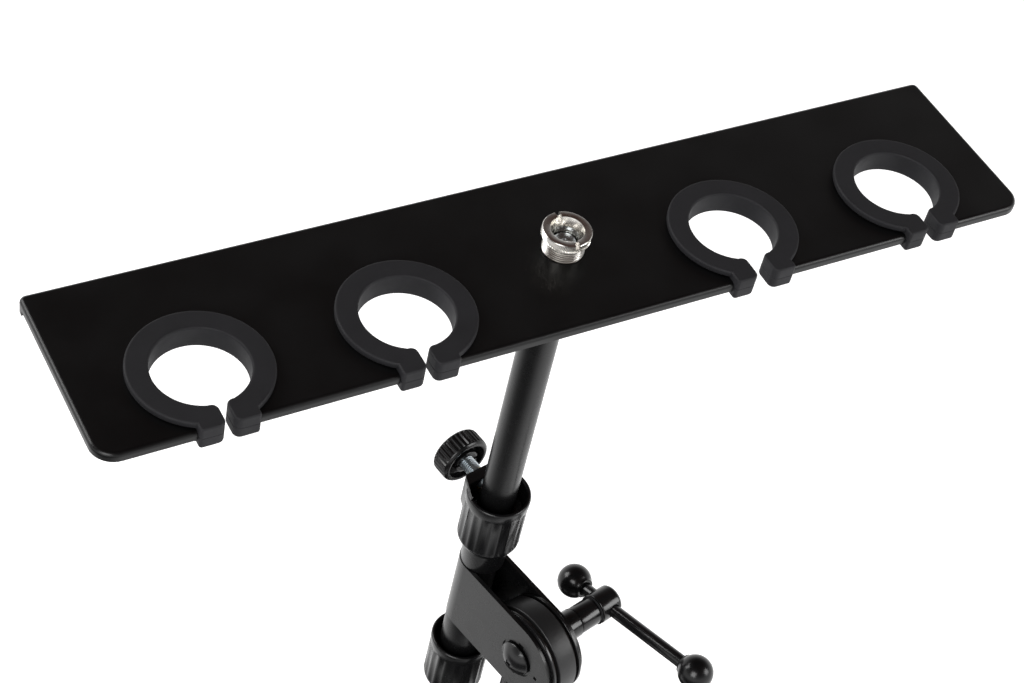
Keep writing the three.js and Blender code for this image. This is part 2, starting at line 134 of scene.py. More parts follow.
# The upper collar's ear, which carries the thumbscrew.
EAR_ROOT = 13.3
EAR_OUT = 13.6
EAR_HALF = 8
EAR_TOP = 1.2
EAR_BOTTOM = -13
EAR_CORNER = 2
EAR_EASE = 0.6
INSERT_HOLE_R = 4.8

# The thumbscrew's knob.
KNOB_SIDES = 128
KNOB_GRIP = [0, 0, 0.5, 0.5]
KNOB_GRIP_BAND = (22.6, 29.5)
KNOB_GRIPS_BEYOND = 11.0

# The strap's bend and cheeks, and the seat punched in one of them for the bolt's head.
STRAP_REACH = 39.4
STRAP_OUT = 9.75
STRAP_SHEET = 1.85
STRAP_HALF = 19.9
STRAP_SPARE = 25
STRAP_CUT = 15
BOLT_HOLE_R = 4.3
SEAT_R = 8.9
SEAT_FLOOR = -9.1
SEAT_CORNER = 1.4
PAST_CHEEK = -12

# The hub, the discs beside it and the bolt's domed head.
HUB_R = 22.2
HUB_HALF = 4.7
NECK_HALF = 9
FRICTION_R = 20.4
CHEEK_DISC_R = 21.8
DOME_R = 7.4
DOME_TOP = -14.4
DOME_RISE = 3.3
DOME_CURVE = 2.2
DOME_STEPS = 9

# The T-handle: its bar, its two balls and the seal in its barrel.
BAR_OUT = 41.4
BAR_R = 2.9
BAR_HOLE_R = 3.15
BAR_ENDS = (-22, 59)
BALL_R = 7.6
BALL_SPOTS = (-19, 56)
SEAL_MIDDLE = (6.35, 34.6)
SEAL_HALF = (0.5, 0.35)
SEAL_STEPS = 12

# The camera, from the middle of the tray's top, in metres and degrees.
CAMERA_SPOT = Vector((-0.35035, -0.43423, 0.52399))
CAMERA_TURN = (43.0983, -9.6058, -27.8705)
CAMERA_LENS = 73.857
CAMERA_SENSOR = 36

# The room's light: its strength, the way its dark side faces, and where its walls end.
ROOM_STRENGTH = 1.35
DARK_SIDE = math.radians(212)
WALLS_FROM = -0.12
WALLS_TO = -0.30
FLOOR_SIZE = 14
FLOOR_GREY = 0.86
FLOOR_GLOW = 0.65


def moved(x, y, z):
    """A shift by millimetres."""
    return Matrix.Translation((x * MM, y * MM, z * MM))


def pointing(start, way):
    """A place whose Z runs along way from start."""
    return Matrix.Translation(start) @ way.to_track_quat("Z", "Y").to_matrix().to_4x4()


boom_place = Matrix.Translation(stud_top)
tray_place = Matrix.Translation((tray_middle.x, tray_middle.y, stud_top.z))
column_place = Matrix.Translation((pivot.x, pivot.y, 0))
upper_rim = boom_place @ moved(0, 0, -UPPER_RIM_DROP)
lower_rim = boom_place @ moved(0, 0, -LOWER_RIM_DROP)
bolt_place = pointing(pivot, bolt_way)
screw_place = pointing(screw_middle, screw_way)
bar_place = pointing(pivot + bolt_way * BAR_OUT * MM, bar_way)
toward_boom = up.cross(bolt_way)
tilt_place = Matrix.Translation(pivot) @ Matrix((bolt_way, toward_boom, up)).transposed().to_4x4()


# ---------------------------------------------------------------- bench work
def deselected():
    """Nothing selected, and in object mode."""
    if bpy.context.object and bpy.context.object.mode != "OBJECT":
        bpy.ops.object.mode_set(mode="OBJECT")
    for item in list(bpy.context.selected_objects):
        item.select_set(False)


def taken_up(piece):
    """Only this piece selected and active."""
    deselected()
    piece.select_set(True)
    bpy.context.view_layer.objects.active = piece


def worked(piece, kind, chosen, work):
    """In edit mode, select the piece's parts that are chosen by their place, then do the work on them."""
    taken_up(piece)
    bpy.ops.object.mode_set(mode="EDIT")
    bpy.ops.mesh.select_mode(type=kind)
    bpy.ops.mesh.select_all(action="DESELECT")
    shell = bmesh.from_edit_mesh(piece.data)
    parts = {"VERT": shell.verts, "EDGE": shell.edges, "FACE": shell.faces}[kind]
    found = 0
    for part in parts:
        if chosen(part):
            part.select_set(True)
            found += 1
    bmesh.update_edit_mesh(piece.data)
    if found:
        work()
    bpy.ops.object.mode_set(mode="OBJECT")


def whole(part):
    """Every part of the piece."""
    return True


def upright(edge):
    """Whether the edge stands along Z, by more than a millimetre."""
    return abs(edge.verts[0].co.z - edge.verts[1].co.z) > MM


def bevelled(piece, chosen, width, segments):
    """Round the chosen edges by a width in millimetres."""
    worked(piece, "EDGE", chosen, lambda: bpy.ops.mesh.bevel(
        offset=width * MM, segments=segments, affect="EDGES"))


def shifted(piece, chosen, x, y, z):
    """Move the chosen vertices by millimetres."""
    worked(piece, "VERT", chosen, lambda: bpy.ops.transform.translate(
        value=(x * MM, y * MM, z * MM)))


def scored(piece, spot, way):
    """Cut a line of edges round the piece, in the plane through spot that faces way."""
    worked(piece, "FACE", whole, lambda: bpy.ops.mesh.bisect(plane_co=spot, plane_no=way))


def thickened(piece, thickness):
    """Give a bent surface the thickness of its sheet, inwards."""
    taken_up(piece)
    sheet = piece.modifiers.new("sheet", "SOLIDIFY")
    sheet.thickness = thickness * MM
    sheet.offset = -1
    sheet.use_even_offset = True
    bpy.ops.object.modifier_apply(modifier=sheet.name)
    return piece


def placed(piece, place):
    """Set the piece in place, with the place kept in its mesh."""
    taken_up(piece)
    piece.matrix_world = place
    bpy.ops.object.transform_apply(location=True, rotation=True, scale=True)
    return piece


def block(name, low, high):
    """A block between two corners in millimetres, to be shaped further."""
    deselected()
    bpy.ops.mesh.primitive_cube_add(size=1)
    piece = bpy.context.object
    piece.name = name
    piece.scale = [(b - a) * MM for a, b in zip(low, high)]
    piece.location = [(a + b) / 2 * MM for a, b in zip(low, high)]
    bpy.ops.object.transform_apply(location=True, rotation=True, scale=True)
    return piece


def drum(name, radius, low, high, sides=128):
    """A round bar along Z in millimetres, for cutting or joining."""
    deselected()
    middle = (0, 0, (low + high) / 2 * MM)
    bpy.ops.mesh.primitive_cylinder_add(
        vertices=sides, radius=radius * MM, depth=(high - low) * MM, location=middle)
    piece = bpy.context.object
    piece.name = name
    bpy.ops.object.transform_apply(location=True, rotation=True, scale=True)
    return piece


def combined(piece, other, way):
    """Join the other shape to the piece, or take it away, and drop it."""
    taken_up(piece)
    fitting = piece.modifiers.new("fitting", "BOOLEAN")
    fitting.operation = way
    fitting.solver = "EXACT"
    fitting.object = other
    bpy.ops.object.modifier_apply(modifier=fitting.name)
    bpy.data.objects.remove(other)
    return piece


def eased(outline, ease, steps=3):
    """The outline with each sharp corner rounded by up to ease millimetres."""
    closed = outline[0] == outline[-1]
    corners = [Vector(p) for p in (outline[:-1] if closed else outline)]
    rounded = []
    for i, here in enumerate(corners):
        if not closed and i in (0, len(corners) - 1):
            rounded.append(tuple(here))
            continue
        back = corners[i - 1] - here
        ahead = corners[(i + 1) % len(corners)] - here
        if back.angle(-ahead) < math.radians(20):
            rounded.append(tuple(here))
            continue
        reach = min(ease, 0.4 * back.length, 0.4 * ahead.length)
        start = here + back.normalized() * reach
        end = here + ahead.normalized() * reach
        for step in range(steps + 1):
            t = step / steps
            point = start * (1 - t) ** 2 + here * 2 * t * (1 - t) + end * t ** 2
            rounded.append(tuple(point))
    if closed:
        rounded.append(rounded[0])
    return rounded


def tube(inner, outer, low, high):
    """The closed outline of a tube's wall."""
    return [(inner, low), (outer, low), (outer, high), (inner, high), (inner, low)]


def turned(name, outline, sides=96):
    """A lathe-turned piece about Z. The outline's (radius, height) points are in millimetres."""
    deselected()
    bpy.ops.mesh.primitive_plane_add(size=MM)
    piece = bpy.context.object
    piece.name = name
    bpy.ops.object.mode_set(mode="EDIT")
    bpy.ops.mesh.select_mode(type="VERT")
    bpy.ops.mesh.select_all(action="SELECT")
    bpy.ops.mesh.merge(type="CENTER")
    bpy.ops.transform.translate(value=(outline[0][0] * MM, 0, outline[0][1] * MM))
    for (r0, h0), (r1, h1) in zip(outline, outline[1:]):
        step = ((r1 - r0) * MM, 0, (h1 - h0) * MM)
        bpy.ops.mesh.extrude_region_move(TRANSFORM_OT_translate={"value": step})
    bpy.ops.mesh.select_all(action="SELECT")
    bpy.ops.mesh.remove_doubles(threshold=0.002 * MM)
    bpy.ops.mesh.spin(steps=sides, angle=2 * math.pi, center=(0, 0, 0), axis=(0, 0, 1))
    bpy.ops.mesh.select_all(action="SELECT")
    bpy.ops.mesh.remove_doubles(threshold=0.002 * MM)
    bpy.ops.mesh.normals_make_consistent(inside=False)
    bpy.ops.object.mode_set(mode="OBJECT")
    return piece


def drawn_in(piece, sides, pattern, band, beyond):
    """Draw in each side's vertices by the pattern's depths, in a band of heights, all in millimetres."""
    low, high = band
    for index, depth in enumerate(pattern):
        if not depth:
            continue

        def chosen(vert):
            radius = math.hypot(vert.co.x, vert.co.y) / MM
            side = round(math.atan2(vert.co.y, vert.co.x) * sides / (2 * math.pi))
            return radius > beyond and low < vert.co.z / MM < high and side % len(pattern) == index

        factor = 1 - depth / (beyond + 0.3)
        worked(piece, "VERT", chosen, lambda: bpy.ops.transform.resize(
            value=(factor, factor, 1), center_override=(0, 0, 0)))


def twisted_above(piece, height, degrees):
    """Turn all that is above a height about the piece's axis."""
    worked(piece, "VERT", lambda vert: vert.co.z / MM > height, lambda: bpy.ops.transform.rotate(
        value=math.radians(degrees), orient_axis="Z", center_override=(0, 0, 0)))


def softened(piece, width, segments=2, angle=40):
    """Break the piece's sharp edges."""
    taken_up(piece)
    edge = piece.modifiers.new("edge", "BEVEL")
    edge.width = width * MM
    edge.segments = segments
    edge.limit_method = "ANGLE"
    edge.angle_limit = math.radians(angle)
    edge.use_clamp_overlap = True
    bpy.ops.object.modifier_apply(modifier=edge.name)
    return piece


def evened(piece):
    """Keep the flats flat to the light, beside their rounded edges."""
    taken_up(piece)
    light = piece.modifiers.new("light", "WEIGHTED_NORMAL")
    light.keep_sharp = True
    light.weight = 60
    bpy.ops.object.modifier_apply(modifier=light.name)
    return piece


# ---------------------------------------------------------------- finishes
def noise_of(tree, where, scale, detail, roughness=0.5):
    """A noise that stays with the piece; its scale is per metre."""
    noise = tree.nodes.new("ShaderNodeTexNoise")
    noise.inputs["Scale"].default_value = scale
    noise.inputs["Detail"].default_value = detail
    noise.inputs["Roughness"].default_value = roughness
    tree.links.new(where.outputs["Object"], noise.inputs["Vector"])
    return noise.outputs["Fac"]


def finish_of(name, colour, rough, spread, tint, cloud, grain, height, metal=0.0, coat=0.0, specular=0.5):
    """A finish with clouded colour and gloss, and a fine grain that is height millimetres deep."""
    finish = bpy.data.materials.new(name)
    finish.use_nodes = True
    tree = finish.node_tree
    shader = tree.nodes["Principled BSDF"]
    shader.inputs["Metallic"].default_value = metal
    shader.inputs["Coat Weight"].default_value = coat
    shader.inputs["Coat Roughness"].default_value = 0.12
    shader.inputs["Specular IOR Level"].default_value = specular
    where = tree.nodes.new("ShaderNodeTexCoord")

    shade = tree.nodes.new("ShaderNodeValToRGB")
    dark, light = shade.color_ramp.elements
    dark.position = 0.32
    light.position = 0.7
    dark.color = (*[c * (1 - tint) for c in colour], 1)
    light.color = (*[min(c * (1 + tint), 1) for c in colour], 1)
    tree.links.new(noise_of(tree, where, cloud, 5, 0.6), shade.inputs["Fac"])
    tree.links.new(shade.outputs["Color"], shader.inputs["Base Color"])

    gloss = tree.nodes.new("ShaderNodeMapRange")
    gloss.inputs["From Min"].default_value = 0.3
    gloss.inputs["From Max"].default_value = 0.7
    gloss.inputs["To Min"].default_value = rough
    gloss.inputs["To Max"].default_value = rough + spread
    tree.links.new(noise_of(tree, where, cloud * 2.3, 3), gloss.inputs["Value"])
    tree.links.new(gloss.outputs["Result"], shader.inputs["Roughness"])

    relief = tree.nodes.new("ShaderNodeBump")
    relief.inputs["Strength"].default_value = 0.5
    relief.inputs["Distance"].default_value = height * MM
    tree.links.new(noise_of(tree, where, grain, 4, 0.55), relief.inputs["Height"])
    tree.links.new(relief.outputs["Normal"], shader.inputs["Normal"])
    return finish


finishes = {
    "tray_coat": finish_of(
        "satin_powder_coat", colour=(0.0022, 0.0022, 0.0024), rough=0.30, spread=0.08, tint=0.18,
        cloud=22, grain=900, height=0.03, specular=0.35),
    "ring_rubber": finish_of(
        "charcoal_rubber", colour=(0.0090, 0.0088, 0.0108), rough=0.62, spread=0.12, tint=0.16,
        cloud=60, grain=1500, height=0.05, specular=0.38),
    "tube_paint": finish_of(
        "satin_tube_paint", colour=(0.0040, 0.0040, 0.0042), rough=0.24, spread=0.06, tint=0.18,
        cloud=40, grain=1100, height=0.02, specular=0.42),
    "black_plastic": finish_of(
        "black_moulding", colour=(0.0036, 0.0036, 0.0039), rough=0.20, spread=0.08, tint=0.15,
        cloud=70, grain=1400, height=0.02, specular=0.38),
    "nickel": finish_of(
        "bright_nickel", colour=(0.74, 0.72, 0.68), rough=0.20, spread=0.10, tint=0.05,
        cloud=90, grain=700, height=0.004, metal=1.0),
    "zinc": finish_of(
        "bright_zinc", colour=(0.55, 0.60, 0.63), rough=0.24, spread=0.14, tint=0.10,
        cloud=120, grain=1500, height=0.02, metal=1.0),
    "black_oxide": finish_of(
        "gloss_black_steel", colour=(0.0060, 0.0060, 0.0064), rough=0.16, spread=0.08, tint=0.15,
        cloud=80, grain=1200, height=0.012, coat=0.2, specular=0.4),
    "cast_base": finish_of(
        "cast_black_paint", colour=(0.0080, 0.0080, 0.0084), rough=0.40, spread=0.05, tint=0.12,
        cloud=60, grain=520, height=0.12),
    # Dark brown fibre, made darker still: painted shade of the recess between the hub and the cheek washers.
    "friction_fibre": finish_of(
        "pressed_fibre_and_painted_shade", colour=(0.022, 0.016, 0.013), rough=0.78, spread=0.14, tint=0.35,
        cloud=240, grain=1900, height=0.08),
    "brass_insert": finish_of(
        "turned_brass", colour=(0.62, 0.42, 0.16), rough=0.22, spread=0.12, tint=0.10,
        cloud=90, grain=1300, height=0.015, metal=1.0),
}


def finished(piece, slot, body, *nodes, smooth=32):
    """Give the piece its finish, its body and the frame nodes that it stands for."""
    taken_up(piece)
    bpy.ops.object.shade_smooth_by_angle(angle=math.radians(smooth))
    piece.data.materials.clear()
    piece.data.materials.append(finishes[slot])
    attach(piece, body)
    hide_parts(*nodes)
    return piece


# ---------------------------------------------------------------- tray
def tray_pan():
    """The sheet with its turned-down edges, in the tray's own frame."""
    half_x = TRAY_LENGTH / 2
    half_y = TRAY_DEPTH / 2
    pan = block("holder_tray", (-half_x, -half_y, -REAR_FLANGE), (half_x, half_y, 0))
    worked(pan, "FACE", lambda face: face.normal.z < -0.9, lambda: bpy.ops.mesh.delete(type="FACE"))

    bevelled(pan, lambda edge: upright(edge) and edge.verts[0].co.y < 0, FRONT_CORNER, 10)
    bevelled(pan, lambda edge: upright(edge) and min(vert.co.y for vert in edge.verts) > 0, REAR_CORNER, 6)
    for back in (REAR_HOOK, REAR_HOOK + 0.25):
        scored(pan, (0, (half_y - back) * MM, 0), (0, 1, 0))
    hook_front = (half_y - REAR_HOOK - 0.1) * MM
    shifted(pan, lambda vert: vert.co.z < -5 * MM and vert.co.y < hook_front, 0, 0, REAR_FLANGE - LIP)

    def rim(edge):
        flat = all(abs(vert.co.z) < 0.01 * MM for vert in edge.verts)
        return flat and any(abs(face.normal.z) < 0.1 for face in edge.link_faces)

    bevelled(pan, rim, EDGE_BEND, 5)
    return thickened(pan, SHEET)


def slotted(pan, number, x, y):
    """Open the sheet for a ring, out to the front edge."""
    left = ARM_LEFT[number - 1] + ARM_WIDTH + ARM_PLAY
    right = ARM_RIGHT[number - 1] + ARM_WIDTH + ARM_PLAY
    hole = placed(drum("ring_hole", SLOT_R, *SHEET_CUT), moved(x, y, 0))
    mouth = block("ring_mouth", (x - left, y - BEYOND_TRAY, -11), (x + right, y - SLOT_MOUTH, 3))
    combined(hole, mouth, "UNION")
    return combined(pan, hole, "DIFFERENCE")


pan = tray_pan()
for number, x in enumerate(RING_X, start=1):
    slotted(pan, number, x, RING_Y)
stud_hole = placed(drum("stud_hole", STUD_HOLE_R, *SHEET_CUT), moved(0, STUD_HOLE_Y, 0))
combined(pan, stud_hole, "DIFFERENCE")
softened(pan, 0.22, segments=2, angle=50)
placed(pan, tray_place)
finished(pan, "tray_coat", "tray", "tray_plate")
evened(pan)


# ---------------------------------------------------------------- rubber rings
def arm(side, gap):
    """One of a ring's two arms: side is -1 or 1, gap its distance from the ring's centre line."""
    inner = side * gap
    outer = side * (gap + ARM_WIDTH)
    back = -math.sqrt(RING_INNER ** 2 - (gap + ARM_NOSE) ** 2) + ARM_INTO_RING
    piece = block("arm", (min(inner, outer), -ARM_FRONT, RING_BOTTOM), (max(inner, outer), back, RING_TOP))

    def stands(edge, x, y):
        middle = (edge.verts[0].co + edge.verts[1].co) / 2 / MM
        return upright(edge) and abs(middle.x - x) < 0.1 and abs(middle.y - y) < 0.1

    for x, y, ease in (
            (inner, -ARM_FRONT, ARM_NOSE), (inner, back, ARM_NOSE), (outer, -ARM_FRONT, ARM_OUTER_EASE)):
        bevelled(piece, lambda edge: stands(edge, x, y), ease, 6)
    for step in (-1, 0, 1):
        scored(piece, (0, 0, (ARM_PARTING + step * ARM_PARTING_HALF) * MM), (0, 0, 1))
    middle = ((inner + outer) / 2 * MM, -20 * MM, 0)
    worked(piece, "VERT", lambda vert: abs(vert.co.z - ARM_PARTING * MM) < 0.05 * MM,
           lambda: bpy.ops.transform.resize(value=(0.95, 0.96, 1), center_override=middle))

    def top_or_bottom(edge):
        level = abs(edge.verts[0].co.z - edge.verts[1].co.z) < 0.01 * MM
        height = edge.verts[0].co.z / MM
        return level and (height > RING_TOP - 0.1 or height < RING_BOTTOM + 0.1)

    bevelled(piece, top_or_bottom, ARM_END_EASE, 4)
    return piece


def rubber_ring(number, left, right):
    """A ring with a groove for the sheet, opened between its two arms."""
    section = [
        (RING_INNER, RING_BOTTOM), (RING_OUTER, RING_BOTTOM), (RING_OUTER, GROOVE_LOW),
        (GROOVE_R, GROOVE_LOW), (GROOVE_R, GROOVE_HIGH), (RING_OUTER, GROOVE_HIGH),
        (RING_OUTER, RING_TOP), (RING_INNER, RING_TOP), (RING_INNER, RING_BOTTOM)]
    ring = turned(f"rubber_ring_{number}", eased(section, RING_EASE, steps=5), sides=RING_SIDES)
    opening = block("opening", (-left - RING_OPENING, -BEYOND_TRAY, -12), (right + RING_OPENING, -8, 8))
    combined(ring, opening, "DIFFERENCE")
    combined(ring, arm(-1, left), "UNION")
    combined(ring, arm(1, right), "UNION")
    return ring


for number, (x, left, right) in enumerate(zip(RING_X, ARM_LEFT, ARM_RIGHT), start=1):
    ring = rubber_ring(number, left, right)
    placed(ring, tray_place @ moved(x, RING_Y, 0))
    finished(ring, "ring_rubber", "tray", f"ring_grommet_{number}", smooth=40)
    evened(ring)


# ---------------------------------------------------------------- adapter and stud
def thread(radius, depth, pitch, low, high):
    """The outline of a screw thread from low to high."""
    rows = []
    height = low
    while height + pitch < high:
        rows.append((radius - depth, height))
        rows.append((radius, height + 0.35 * pitch))
        rows.append((radius, height + 0.6 * pitch))
        height += pitch
    rows.append((radius - depth, height))
    return rows


adapter_outline = [
    (4.9, -11.5), (7.4, -11.5), (7.9, -11), (7.9, 0.2), *thread(7.94, 0.5, 0.94, 0.5, 6.4), (7.5, 6.6),
    (8.9, 6.6), (9.25, 6.85), *[(9.3, row) for row in KNURL_ROWS], (9.25, 9.75), (9.05, 9.95), (8.85, 10),
    (6.6, 10), (6.4, 9.9), (4.95, 6.75), (4.9, 6.5), (4.9, -11.5)]
adapter = turned("threaded_adapter", adapter_outline, sides=ADAPTER_SIDES)
drawn_in(adapter, ADAPTER_SIDES, [0, KNURL_DEPTH], (6.9, 9.6), 9.0)
for row in KNURL_ROWS[1:]:
    twisted_above(adapter, row - 0.1, KNURL_TWIST)
coin_slot = block("coin_slot", (-10, -COIN_SLOT_HALF, COIN_SLOT_FLOOR), (10, COIN_SLOT_HALF, 11))
placed(coin_slot, Matrix.Rotation(math.radians(COIN_SLOT_ANGLE), 4, "Z"))
combined(adapter, coin_slot, "DIFFERENCE")
placed(adapter, boom_place)
finished(adapter, "nickel", "tray", "thread_adapter", smooth=30)

boss = turned("adapter_boss", eased([
    (STUD_HOLE_R, -12), (11, -12), (11, -4.3), (16, -4.3), (16, -1.8), (STUD_HOLE_R, -1.8),
    (STUD_HOLE_R, -12)], 0.5))
placed(boss, boom_place)
finished(boss, "tray_coat", "tray", "tray_boss")

stud = turned("boom_top_stud", eased([
    (0, -40.6), (5.7, -40.6), (5.7, -20.3), (8.5, -20.3), (8.5, -12.3), (4.5, -12.3),
    *thread(4.6, 0.4, 1.2, -6, 2.6), (4.5, 3.7), (3.8, 4.5), (1.1, 4.5), (0.5, 3.9), (0, 3.7)], 0.2))
placed(stud, boom_place)
finished(stud, "zinc", "boom", "boom_stud")


# ---------------------------------------------------------------- boom, sleeves and collars
pipes = [
    ("boom_pipe", tube(6, BOOM_R, -316, -20.6), "boom", "boom_tube"),
    ("upper_sleeve", tube(PIPE_BORE, PIPE_R, -186.4, -160.2), "boom_head", "sleeve_upper"),
    ("lower_sleeve", tube(PIPE_BORE, PIPE_R, -261.5, -226.8), "boom_head", "sleeve_lower"),
]
for name, wall, body, node in pipes:
    pipe = placed(turned(name, eased(wall, 0.3), sides=128), boom_place)
    finished(pipe, "tube_paint", body, node)

end_cap = turned("boom_cap", eased([
    (0, -318.5), (7.1, -318.5), (8.3, -317.5), (8.3, -316.3), (5.7, -316.3), (5.7, -302), (0, -302)], 0.3))
placed(end_cap, boom_place)
finished(end_cap, "black_plastic", "boom", "boom_end_cap")


def collar(name, end_r):
    """The outside of a fluted clamping collar about Z, with its mouth at zero, still solid inside."""
    outside = [
        (0, -32.7), (end_r, -32.7), (12.9, -28.9), (13.25, -28.2), (13.35, -27.4), (13.35, -26.2),
        (13.35, -6.4), (13.35, -5.2), (13.45, -4.4), (COLLAR_R, -3.6), (COLLAR_R, -0.7), (13.1, 0), (0, 0)]
    shell = turned(name, eased(outside, COLLAR_EASE), sides=COLLAR_SIDES)
    drawn_in(shell, COLLAR_SIDES, FLUTE_DEPTHS, FLUTE_BAND, FLUTES_BEYOND)
    return shell


def mouth_to(depth):
    """What is bored out of a collar's mouth, with its edge broken."""
    outline = [(0, depth), (CUP_R, depth), (CUP_R, -0.65), (12.3, 0), (12.35, 3), (0, 3)]
    return turned("mouth", outline, sides=CUP_SIDES)


def screw_ear():
    """The lug that carries the thumbscrew: as wide as the collar where it leaves it, narrow at its face."""
    ear = block("screw_ear", (2, -EAR_ROOT, EAR_BOTTOM), (EAR_OUT, EAR_ROOT, EAR_TOP))
    worked(ear, "VERT", lambda vert: vert.co.x > 10 * MM, lambda: bpy.ops.transform.resize(
        value=(1, EAR_HALF / EAR_ROOT, 1), center_override=(0, 0, 0)))
    bevelled(ear, lambda edge: upright(edge) and edge.verts[0].co.x > 10 * MM, EAR_CORNER, 5)
    bevelled(ear, lambda edge: min(vert.co.z for vert in edge.verts) > MM, EAR_EASE, 3)
    return ear


upper_collar = collar("collar_with_ear", 10.6)
screw_drop = (screw_middle.z - upper_rim.translation.z) / MM
lying_screw = moved(0, 0, screw_drop) @ screw_way.to_track_quat("Z", "Y").to_matrix().to_4x4()
ear_turn = Matrix.Rotation(math.atan2(screw_way.y, screw_way.x), 4, "Z")
combined(upper_collar, placed(screw_ear(), ear_turn), "UNION")
flat_mouth = mouth_to(-10)
combined(flat_mouth, block("flat", (CUP_FLAT, -15, -12), (15, 15, 5)), "DIFFERENCE")
combined(upper_collar, placed(flat_mouth, ear_turn), "DIFFERENCE")
combined(upper_collar, drum("cup", CUP_R, -18.5, -9.8, sides=CUP_SIDES), "DIFFERENCE")
combined(upper_collar, drum("sleeve_bore", SLEEVE_SEAT_R, -35, -18), "DIFFERENCE")
insert_hole = drum("insert_hole", INSERT_HOLE_R, BOOM_R, EAR_OUT + 2, sides=64)
combined(upper_collar, placed(insert_hole, lying_screw), "DIFFERENCE")
placed(upper_collar, upper_rim)
finished(upper_collar, "black_plastic", "boom_head", "upper_collar", smooth=28)

lower_collar = collar("collar_below", 9.1)
combined(lower_collar, mouth_to(-12), "DIFFERENCE")
combined(lower_collar, drum("sleeve_seat", SLEEVE_SEAT_R, -17.3, -11.5), "DIFFERENCE")
combined(lower_collar, drum("boom_bore", BOOM_BORE_R, -35, -17), "DIFFERENCE")
placed(lower_collar, lower_rim)
finished(lower_collar, "black_plastic", "boom_head", "lower_collar", smooth=28)

bush = placed(turned("guide_bush", eased(tube(7.7, 11.5, -18.2, -10), 0.4)), upper_rim)
finished(bush, "black_plastic", "boom_head", "upper_bush")
insert = placed(turned("screw_insert", eased(tube(3.45, 4.5, 9.8, 13.4), 0.2), sides=64), screw_place)
finished(insert, "brass_insert", "boom_head", "clamp_insert")


# ---------------------------------------------------------------- thumbscrew
screw_outline = [
    (0, 7.8), (2.2, 7.8), (2.9, 8.6), *thread(3.2, 0.45, 0.95, 9.0, 24.5), (2.9, 25), (2.9, 28), (0, 28)]
screw = placed(turned("clamp_screw", screw_outline, sides=64), screw_place)
finished(screw, "zinc", "thumbscrew", "thumbscrew_screw")

knob_outline = [
    (0, 28.3), (3.5, 28.3), (3.5, 21.6), (5.6, 21.6), (5.6, 24.6), (8.9, 24.6), (8.9, 21.4), (10.3, 21.4),
    (11.1, 22.2), (11.3, 22.9), (11.3, 29.2), (11.0, 29.9), (10.2, 30.6), (6, 30.9), (0, 31)]
knob = turned("clamp_knob", eased(knob_outline, 0.3), sides=KNOB_SIDES)
drawn_in(knob, KNOB_SIDES, KNOB_GRIP, KNOB_GRIP_BAND, KNOB_GRIPS_BEYOND)
combined(knob, block("hub_notches", (-5.9, -0.9, 21), (5.9, 0.9, 22.5)), "DIFFERENCE")
placed(knob, screw_place)
finished(knob, "black_plastic", "thumbscrew", "thumbscrew_knob", smooth=28)


# ---------------------------------------------------------------- strap
def strap():
    """The sheet bent round the boom, its two cheeks ending round the bolt, in the tilt's own frame."""
    deselected()
    bpy.ops.mesh.primitive_circle_add(vertices=96, radius=STRAP_OUT * MM)
    band = bpy.context.object
    band.name = "bent_strap"
    worked(band, "VERT", lambda vert: vert.co.y < -0.001 * MM, lambda: bpy.ops.mesh.delete(type="VERT"))
    shifted(band, whole, 0, STRAP_REACH, 0)
    worked(band, "VERT", lambda vert: abs(vert.co.y - STRAP_REACH * MM) < 0.01 * MM,
           lambda: bpy.ops.mesh.extrude_region_move(
               TRANSFORM_OT_translate={"value": (0, -(STRAP_REACH + STRAP_SPARE) * MM, 0)}))
    shifted(band, whole, 0, 0, -STRAP_SPARE)
    worked(band, "EDGE", whole, lambda: bpy.ops.mesh.extrude_region_move(
        TRANSFORM_OT_translate={"value": (0, 0, 2 * STRAP_SPARE * MM)}))
    worked(band, "FACE", whole, lambda: bpy.ops.mesh.normals_make_consistent(inside=False))
    cheek = next(face for face in band.data.polygons if abs(face.center.y) < 15 * MM and face.center.x > 0)
    if cheek.normal.x < 0:
        worked(band, "FACE", whole, lambda: bpy.ops.mesh.flip_normals())
    return thickened(band, STRAP_SHEET)


def lying_along_bolt(piece):
    """Turn a piece made about Z to lie along the bolt, in the tilt's own frame."""
    return placed(piece, Matrix.Rotation(math.radians(90), 4, "Y"))


band = strap()
stadium = drum("stadium", STRAP_HALF, -STRAP_CUT, STRAP_CUT, sides=160)
shifted(stadium, lambda vert: vert.co.y > 0.01 * MM, 0, 60, 0)
lying_along_bolt(stadium)
combined(band, stadium, "INTERSECT")
bolt_holes = lying_along_bolt(drum("bolt_holes", BOLT_HOLE_R, -STRAP_CUT, STRAP_CUT, sides=64))
combined(band, bolt_holes, "DIFFERENCE")
# The near cheek's punched seat for the bolt's head, with its two corners and the small mark beside it.
seat = drum("head_seat", SEAT_R, PAST_CHEEK, SEAT_FLOOR, sides=96)
for x, y in ((-SEAT_R, -0.8), (SEAT_R, 0.2)):
    corner_low = (x - SEAT_CORNER, y - SEAT_CORNER, PAST_CHEEK)
    corner_high = (x + SEAT_CORNER, y + SEAT_CORNER, SEAT_FLOOR)
    combined(seat, block("corner", corner_low, corner_high), "UNION")
combined(band, lying_along_bolt(seat), "DIFFERENCE")
mark = block("mark", (-0.5, -13.2, PAST_CHEEK), (1.3, -11.5, -9.2))
combined(band, lying_along_bolt(mark), "DIFFERENCE")
softened(band, 0.35, segments=3, angle=50)
placed(band, tilt_place)
finished(band, "tube_paint", "boom_head", "strap_bracket")
evened(band)


